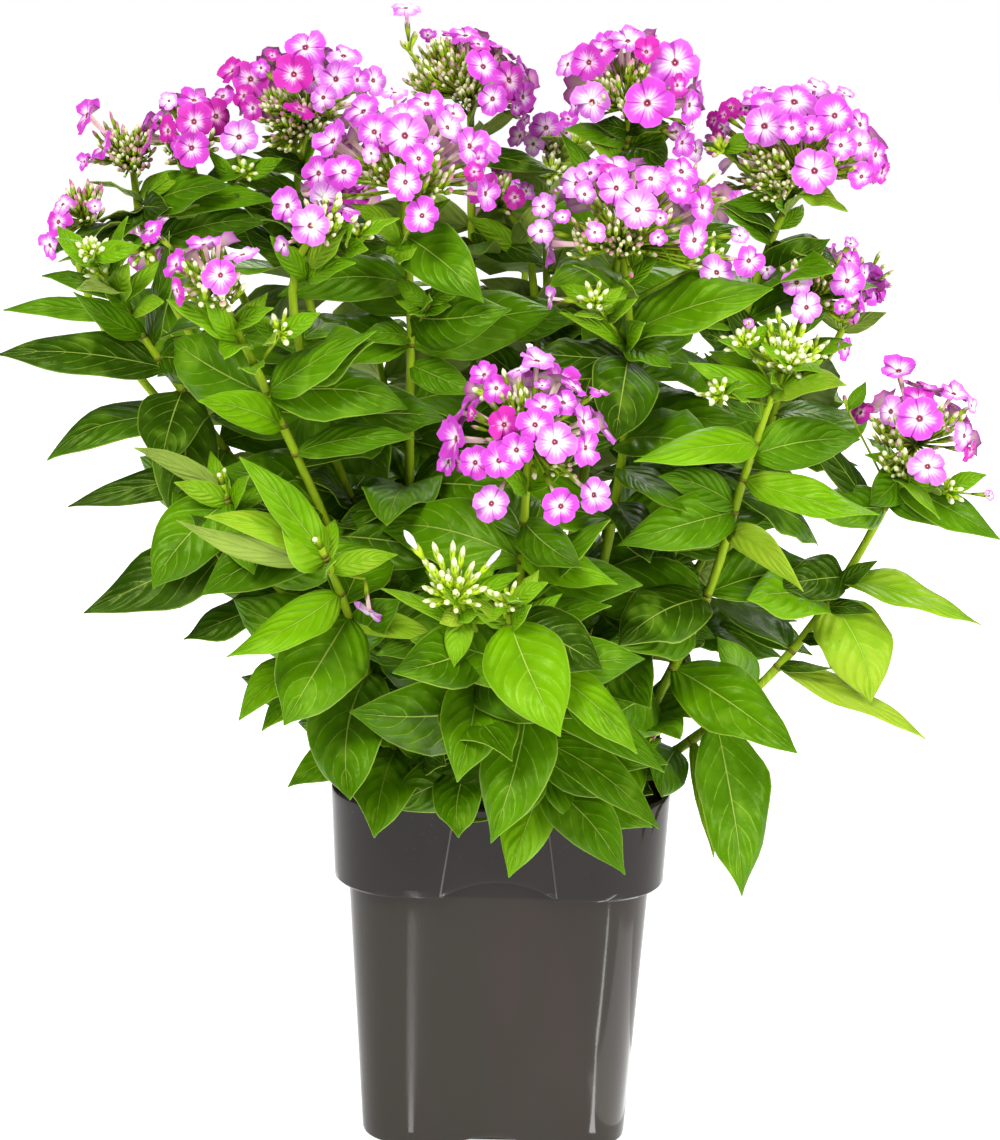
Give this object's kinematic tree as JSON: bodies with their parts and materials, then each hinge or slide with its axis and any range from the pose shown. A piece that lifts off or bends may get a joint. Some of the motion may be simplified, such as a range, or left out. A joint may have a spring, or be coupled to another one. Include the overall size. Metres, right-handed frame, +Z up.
{
  "type": "potted phlox plant",
  "caption": "Garden phlox in flower: leafy stems with domed heads of pink five-lobed florets, rooted in soil in a square nursery pot with rounded corners.",
  "frame": {"origin": "middle of the container's foot, on the surface it stands on", "axes": "+Z up; -Y towards the plant's front; +X to the right seen from the front"},
  "size_m": [0.5, 0.449, 0.5778],
  "materials": {
    "container": "semi-gloss moulded plastic",
    "soil": "damp bark and peat",
    "leaf": "smooth, slightly glossy leaf",
    "petal": "matt petal"
  },
  "bodies": {
    "root": {"pot": "container", "soil": "soil", "stem_centre_left": "leaf", "stem_front": "leaf", "stem_far_right": "leaf", "stem_right_bud": "leaf", "stem_right_top": "leaf", "stem_right_middle": "leaf", "stem_centre_right": "leaf", "stem_upper_right": "leaf", "stem_upper_left": "leaf", "stem_left_high": "leaf", "stem_left_top": "leaf", "stem_middle_top": "leaf", "stem_left_front": "leaf", "stem_far_left": "leaf", "stem_low_left_tip": "leaf", "stem_front_bud": "leaf", "stem_low_front": "leaf", "stem_left_side": "leaf", "stem_left_centre": "leaf", "stem_middle_small": "leaf", "stem_middle_back": "leaf", "stem_left_low": "leaf", "stem_back_left": "leaf", "stem_back_mid_left": "leaf", "stem_back_middle": "leaf", "stem_back_mid_right": "leaf", "stem_back_right": "leaf", "flowers_centre_left": "petal", "flowers_front": "petal", "flowers_far_right": "petal", "flowers_right_top": "petal", "flowers_right_middle": "petal", "flowers_centre_right": "petal", "flowers_upper_right": "petal", "flowers_upper_left": "petal", "flowers_left_high": "petal", "flowers_left_top": "petal", "flowers_middle_top": "petal", "flowers_left_front": "petal", "flowers_left_side": "petal", "flowers_left_centre": "petal", "flowers_middle_small": "petal", "flowers_middle_back": "petal", "flowers_back_left": "petal", "flowers_back_mid_left": "petal", "flowers_back_middle": "petal", "flowers_back_mid_right": "petal", "flowers_back_right": "petal"}
  },
  "joints": []
}
